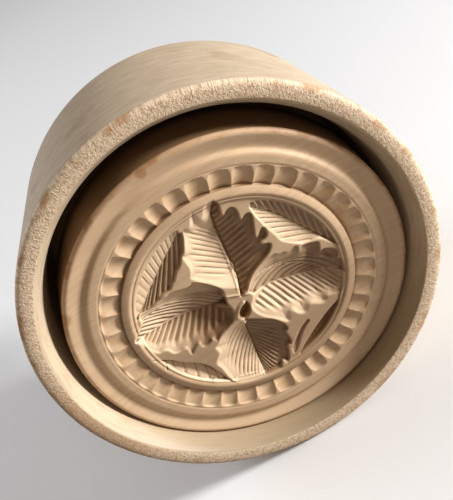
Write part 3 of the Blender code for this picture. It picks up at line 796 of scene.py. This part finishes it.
# Each half of a leaf: its rib and its edge as traced points, how deep it is along the rib and at the
# edge in mm, and wall, the steepest slope at its edge. Veins are how many, their angles at the rib's
# foot and tip, and how far they bend in degrees; a raised vein has a depth below zero. Tone is painted
# light and shade along the rib, from -1, painted light for halves that face the lamp, to 1, painted
# shade for halves that face away. Bank is the steepest slope beside the rib.
leafCuts = [
    {"rib": topRib, "ribDepth": (2.2, 3.6, 4.2, 2.2), "edgeDepth": 0.3, "wall": 0.6,
     "edge": [(-1.2, 2.4), (-5, 2.9), (-9, 4.8), (-12.6, 6.6), (-13.1, 7.3), (-12.8, 8.6), (-13.1, 10.2),
              (-14.5, 12.4), (-15, 13.6), (-14, 14.2), (-14, 15.5), (-14.8, 18.5), (-14.9, 20.4),
              (-14.2, 21), (-12.7, 20.8), (-12.7, 22.6), (-12.6, 24.6), (-12, 25.2), (-11, 24),
              (-10, 22.6), (-9.5, 24.2), (-9.4, 26.2), (-8.6, 27.6), (-7.6, 27.9)],
     "veins": (20, 172, 125, 0), "veinDepth": 0.35, "veinReach": (0.7, 0.95),
     "paintedShading": (-1, -1, -1)},
    {"rib": [(-0.7, 0.8)] + topRib, "ribDepth": (2, 3.6, 4.2, 2.2), "edgeDepth": 0.8,
     "edge": [(0.9, 0.7), (1.7, 1.3), (2, 3.4), (3, 6), (4.6, 8.3), (6.2, 10.2), (7.2, 12),
              (7.5, 13.5), (6.8, 14.3), (5.4, 14), (4.4, 14.3), (5.9, 15.3), (6.4, 16.6), (6, 18),
              (5.2, 18.9), (4.3, 18.4), (3.5, 15.6), (3.2, 17.2), (2.9, 19.4), (2.7, 21.6), (2.1, 23),
              (1.1, 23.2), (0.2, 22.6), (-0.4, 21.2), (-0.8, 22.9), (-1.3, 24.3), (-2.3, 25.2),
              (-3.4, 25.1), (-4.3, 24.2), (-4.8, 22.9), (-5.2, 24.4), (-5.5, 26.2), (-6.4, 27.4),
              (-7.4, 27.9)],
     "veins": (18, 40, 60, 0), "veinDepth": -0.5, "veinWidth": 0.5,
     "paintedShading": (1, 1, 0.9)},
    {"rib": rightRib, "ribDepth": (1.2, 3.2, 3.8, 0.8), "edgeDepth": 0.4,
     "edge": [(1.6, 1), (2, 3.6), (3.2, 6.4), (5, 8.6), (7.2, 10.4), (8.4, 11), (9.3, 10.3),
              (10.4, 11.2), (11.5, 10.6), (12.6, 11.8), (13.8, 12.5), (14.4, 11.4), (14.5, 10),
              (14.9, 12.2), (16.6, 12.6), (19.4, 12.8), (19.9, 11.6), (19.9, 9.6), (20.6, 10.4),
              (22.6, 10.4), (24.6, 9.6), (24.9, 8.2), (24.6, 6.8), (25.6, 7.2), (26.5, 5.5), (26.9, 3.5)],
     "veins": (10, 72, 8, -25), "veinDepth": 0.5, "veinWidth": 0.5,
     "paintedShading": (-0.8, 0, 0.9, 0.9)},
    {"rib": rightRib, "ribDepth": (1.2, 3.2, 3.8, 0.8), "edgeDepth": 0.3, "wall": 0.6,
     "edge": [(3, 0.2), (2.7, -1.8), (2.2, -3.5), (2.9, -5.1), (4.3, -6.6), (6.4, -7.8), (9.3, -8.9),
              (11.4, -10), (12.7, -10.4), (13.3, -9.2), (12.9, -7.6), (13.6, -6.8), (14.6, -8),
              (16.4, -8.6), (17.6, -8), (17.9, -6.4), (18.4, -5.6), (20, -6), (21.8, -6.2),
              (22.9, -5.4), (22.8, -4), (24, -3.8), (25.8, -3.6), (27, -2.2), (27.1, 0),
              (27, 2), (26.9, 3.5)],
     "veins": (15, -46, -26, 0), "veinDepth": 0.55, "veinWidth": 0.9,
     "paintedShading": (-1, -1, -0.8, 0.1)},
    {"rib": leftRib, "ribDepth": (3.8, 4.2, 3, 0.6), "edgeDepth": 0.6,
     "edge": [(-4.4, 0.6), (-4.6, 2.4), (-6.8, 3.9), (-9.6, 5.2), (-12.6, 6), (-13.4, 4.6),
              (-15.6, 4.4), (-18.4, 3.9), (-18.9, 2.9), (-20.4, 2.4), (-21.6, 0.8), (-23.6, 0.2),
              (-25.6, -1), (-26, -2.6), (-25.3, -3.6), (-25.8, -5.2), (-26.4, -6.6), (-27.2, -7.4),
              (-27.5, -8.4)],
     "veins": (9, 150, 172, 12), "veinDepth": 0.55, "veinWidth": 0.8, "veinReach": (0.8, 1),
     "paintedShading": (0.8, 0, -1, -1)},
    {"rib": leftRib, "ribDepth": (3.8, 4.2, 3, 0.6), "edgeDepth": 0.4, "wall": 1,
     "edge": [(-3.6, -1.6), (-2.3, -3.6), (-1.8, -5.6), (-2, -7.6), (-3.2, -9.2), (-5, -10.8),
              (-5.8, -12.2), (-6.4, -13.2), (-7, -12.6), (-7.6, -11.9), (-8, -13.2), (-9.4, -14.3),
              (-10.6, -13.9), (-11, -12.4), (-12, -14.2), (-13.1, -16.4), (-13.9, -14.4),
              (-14.6, -13.4), (-16, -14.6), (-17.8, -14.8), (-18.8, -13.6), (-20, -13.2),
              (-21.2, -14), (-22.6, -13.4), (-23.8, -11.9), (-24.6, -10.7), (-25.9, -9.8), (-27.2, -8.8)],
     "veins": (15, 268, 228, 0), "veinDepth": 0.6, "veinWidth": 0.9,
     "paintedShading": (1, 0.6, -0.7, -1)},
    {"rib": bottomRib, "ribDepth": (2.4, 4, 3.6, 0.5), "edgeDepth": 0.3, "wall": 0.6,
     "edge": [(-0.6, -8), (-2.6, -9), (-4.2, -10.3), (-5.6, -11.9), (-6, -13.6), (-7.2, -14.9),
              (-6.4, -15.8), (-5.8, -16.8), (-6.6, -19), (-6.7, -20.4), (-5.4, -21.6), (-4.4, -23.4),
              (-3.2, -25.4), (-1.4, -27), (0, -27.1), (1.3, -27.1), (2.2, -27), (3.2, -26.9),
              (4.4, -26.7), (5.6, -26.5)],
     "veins": (11, 235, 265, 10), "veinDepth": 0.45, "veinWidth": 0.45,
     "paintedShading": (-1, -1, -0.9)},
    {"rib": bottomRib, "ribDepth": (2.4, 4, 3.6, 0.5), "edgeDepth": 1,
     "edge": [(1.4, -7.2), (4.6, -7.8), (8.2, -8.5), (10.6, -9.9), (12.3, -11.4), (12.6, -12.6),
              (11.9, -13.4), (12.9, -14.8), (13.7, -16.4), (13.6, -17.6), (12.6, -18), (13.2, -20),
              (13.3, -22.4), (12.6, -23.5), (11.4, -22.6), (11.2, -24.4), (10.8, -24.8), (9.9, -25.2),
              (9.3, -25.4), (8.6, -25.7), (7.3, -26.1), (6.5, -26.3)],
     "veins": (15, -10, -60, 0), "veinDepth": -0.5, "veinWidth": 0.5,
     "paintedShading": (0.75, 0.8, 0.6)},
    {"rib": upperRightRib, "ribDepth": (0.8, 1.6, 1.6, 0.6), "edgeDepth": 0.2, "wall": 1.1,
     "edge": [(24, 11.4), (21.4, 12.8), (19.2, 13.6), (16.6, 12.2), (13.6, 12.8), (11.6, 13.4), (9.6, 14.2),
              (8.6, 15.6), (7.4, 16.9), (5.4, 18.8), (4.4, 20.2), (3.2, 21.6), (2.4, 22.9), (1.4, 24.6)],
     "veins": (12, 188, 155, 0), "veinDepth": 0.35, "veinReach": (0.8, 0.98),
     "paintedShading": (-1, -1)},
    {"rib": upperRightRib, "ribDepth": (0.8, 1.6, 1.6, 0.6), "edgeDepth": 0.2,
     "edge": [(24, 11.8), (22.4, 14.6), (19.6, 18.2), (16.1, 21.3), (12.1, 23.8), (7.7, 25.6), (3, 26.3),
              (1.5, 25.4)],
     "veins": (11, 112, 124, 0), "veinDepth": -0.55, "veinWidth": 0.5, "veinReach": (0.85, 1),
     "paintedShading": (0.9, 0.9)},
    {"rib": upperLeftRib, "ribDepth": (1.2, 1.8, 1.8, 0.8), "edgeDepth": 0.2, "wall": 1.1,
     "edge": [(-15.6, 20.8), (-17.4, 20.3), (-20.5, 17.1), (-23, 13.5), (-25, 9.5), (-26.3, 5),
              (-26.8, 1), (-26.7, -1.8)],
     "veins": (14, 100, 130, 0), "veinDepth": 0.2, "veinReach": (0.85, 1),
     "paintedShading": (-0.7, -0.7)},
    {"rib": upperLeftRib, "ribDepth": (1.2, 1.8, 1.8, 0.8), "edgeDepth": 0.4,
     "edge": [(-14.6, 20.4), (-14, 18), (-14.2, 15), (-14.9, 12.8), (-15.2, 10.8), (-16.2, 9.2),
              (-16.6, 7), (-17.2, 6.2), (-17.6, 4.6), (-18.4, 4), (-19.4, 3.4), (-20.2, 2.6),
              (-21, 1.4), (-22, 0.5), (-23, -0.4), (-24.1, -1), (-25.4, -1.6), (-26.4, -2.5)],
     "veins": (10, 272, 240, 0), "veinDepth": 0.6, "veinWidth": 0.9, "veinReach": (0.9, 1),
     "paintedShading": (0.8, 0.6, 0.4)},
    {"rib": [(-24, -14.6), (-21, -15), (-18.3, -15.3), (-16.5, -16.2), (-14, -16.6), (-11, -17.5),
             (-8.5, -19), (-6, -21.5), (-3.6, -24.6), (-2, -25.9), (-1, -26.3)],
     "ribDepth": (1, 2.2, 2.2, 0.8), "edgeDepth": 0.2, "wall": 1.1, "bank": 1.8,
     "edge": [(-21.8, -15.6), (-19.4, -18.4), (-16.4, -21.1), (-13, -23.4), (-9.3, -25.1), (-5.3, -26.3),
              (-1.5, -26.9)],
     "veins": (9, 272, 296, 0), "veinDepth": 0.3, "veinWidth": 0.35, "veinReach": (0.85, 1),
     "paintedShading": (-0.8, -0.8)},
    {"rib": [(25.6, -4.6), (22.4, -7.2), (19.6, -10.6), (17.4, -14.6), (16, -18.4), (15.6, -21.4)],
     "ribDepth": (0.8, 2.4, 2.2, 0.3), "edgeDepth": 0.3, "wall": 1.2, "bank": 1.6,
     "edge": [(26.3, -4.6), (25.4, -8.6), (23.6, -12.5), (21.2, -16.2), (18.2, -19.4), (16, -21.4)],
     "veins": (14, -60, -60, 0), "veinDepth": 0.12,
     "paintedShading": (0.9, 0.9)},
    {"rib": [(18.2, -10.6), (16.4, -13.6), (15.6, -17), (15, -19.2), (14.6, -20.4)],
     "ribDepth": (0.3, 0.8, 0.9, 0.4), "edgeDepth": 0.1, "wall": 1.1, "bank": 1.6,
     "edge": [(17.4, -10.4), (15.6, -12.6), (14.8, -15), (13.8, -17.8), (13.6, -19.4), (14.1, -20.5)],
     "veins": (7, 250, 235, 0), "veinDepth": 0.3,
     "paintedShading": (0.2, 0.2)},
    {"rib": [(1.1, -1.9), (0.6, -3.4), (0.5, -5.2), (0.7, -7.2)], "ribDepth": (1, 2.4, 2.4, 1.2),
     "edgeDepth": 1.2, "wall": 2.5,
     "edge": [(1, -1.8), (-0.2, -3), (-0.8, -4.6), (-0.8, -6.2), (-0.2, -7.3), (0.7, -7.4)],
     "paintedShading": (0.9, 0.9)},
    {"rib": [(1.1, -1.9), (0.6, -3.4), (0.5, -5.2), (0.7, -7.2)], "ribDepth": (1, 2.4, 2.4, 1.2),
     "edgeDepth": 1.2, "wall": 2.5,
     "edge": [(1.1, -1.6), (2.2, -3), (2.5, -5), (1.9, -6.7), (0.8, -7.4)],
     "paintedShading": (0.9, 0.9)},
]
# Lines of their own: under is how deep the wood already lies below them in mm
knifeLines = [
    {"line": topRib, "under": (2.2, 3.6, 4.2, 2.2), "width": 1.1, "depth": 0.6},
    {"line": [(-1.6, 2.9), (-2.3, 6.6), (-3.6, 10.8), (-5.4, 15.3), (-7, 19.6)],
     "under": (2.2, 3, 3.6, 3.4), "width": 1.1, "depth": -0.35},
    {"line": rightRib[1:-1], "under": (2, 3.2, 3.8, 2), "width": 0.5, "depth": 0.3},
    {"line": bottomRib, "under": (2.4, 4, 3.6, 0.5), "width": 0.7, "depth": 0.5},
    {"line": leftRib[:-1], "under": (3.8, 4.2, 3, 1.4), "width": 0.5, "depth": 0.3},
    {"line": upperRightRib, "under": (0.8, 1.6, 1.6, 0.6), "width": 0.6, "depth": 0.4},
    {"line": upperLeftRib, "under": (1.2, 1.8, 1.8, 0.8), "width": 0.5, "depth": 0.3},
    {"line": [(0.8, -1.7), (-0.3, -2.8), (-0.9, -4), (-1.2, -5.4), (-1.2, -6.6), (-0.6, -7.8)],
     "under": (0, 0), "width": 1.5, "depth": -0.65},
    {"line": [(-4.6, 0.3), (-2, 0.4), (1, 0.3), (3.2, 0.2)], "under": (0, 0), "width": 0.9, "depth": -0.4},
    {"line": [(-19.8, -16.8), (-19.9, -18), (-19.7, -19)],
     "under": (0.8, 0.8), "width": 0.6, "depth": 0.6},
]


def bendToDisc(x, y):
    # a square's points to a disc's, so that the sheet's rim meets the turned rings point for point
    reach = np.maximum(np.abs(x), np.abs(y))
    safe = np.where(reach == 0, 1, reach)
    wide = np.abs(x) >= np.abs(y)
    side = np.where(wide, np.where(x >= 0, 0, pi), np.where(y >= 0, pi / 2, -pi / 2))
    along = np.where(wide, y / safe * np.where(x >= 0, 1, -1), -x / safe * np.where(y >= 0, 1, -1))
    turned = side + pi / 4 * along
    return reach * np.cos(turned), reach * np.sin(turned)


def soften(values, reach):
    # the mean of a square of neighbours, as many points each way as reach
    for axis in (0, 1):
        padded = np.pad(values, [(reach, reach) if k == axis else (0, 0) for k in (0, 1)], mode="edge")
        count = values.shape[axis]
        shifts = [np.take(padded, np.arange(k, k + count), axis) for k in range(2 * reach + 1)]
        values = np.mean(shifts, axis=0)
    return values


def makeLeafField(s):
    bm = bmesh.new()
    creaseLayer, toneLayer = (bm.verts.layers.float.new(name) for name in ("crease", "paintedShading"))
    profile = np.array(beadProfile) * mm
    # the plug's side and foot, a hair off the rings' own
    rim, plugFoot = (s["beadOuter"], profile[-1, 1]), s["plugGap"] - s["plugDepth"]
    turn(bm, [rim, (s["beadOuter"] - s["plugTaper"], plugFoot), (0, plugFoot)], 4 * s["grid"])
    made = bmesh.ops.create_grid(bm, x_segments=s["grid"], y_segments=s["grid"], size=1.0)["verts"]
    square = np.array([vert.co for vert in made])
    points = np.stack(bendToDisc(square[:, 0], square[:, 1]), 1) * s["beadOuter"]
    radius = np.hypot(points[:, 0], points[:, 1])
    level = np.interp(radius, profile[:, 0], profile[:, 1])
    paintedShading = np.zeros(len(points))
    for cut in leafCuts:
        carveSide(points, level, paintedShading, cut, s)
    for groove in knifeLines:
        cutLine(points, level, groove, s)
    print("leaves carved, deepest", level.min())
    # crisp cuts are worn a little, and what lies lower than its surroundings is marked as a crease, which
    # is given painted shade, while ridges get a painted highlight
    shape = (s["grid"] + 1, s["grid"] + 1)
    sheet = level.reshape(shape)
    sheet = sheet * (1 - s["softShare"]) + soften(sheet, s["softReach"]) * s["softShare"]
    dip = ((soften(sheet, s["creaseReach"]) - sheet) / mm).ravel()
    paintedShading = soften(paintedShading.reshape(shape), s["toneReach"]).ravel()
    worn = np.where(radius > s["beadOuter"] - s["seam"], rim[1], sheet.ravel())
    for vert, (x, y), z, deeper, shade in zip(made, points, worn, dip, paintedShading):
        vert.co = (x, y, z)
        vert[creaseLayer], vert[toneLayer] = deeper, shade
    bmesh.ops.remove_doubles(bm, verts=bm.verts, dist=mergeReach)
    sharpen(bm, *rim)
    finish = makePrintWood("printCarving", printLook, True)
    return finishMesh(bm, "leafField", plungerPlace, "print", None, [finish])


makeCase(caseSizes)
makeHandle(handleSizes)
makePrintBody(printSizes)
makeLeafField(printSizes)
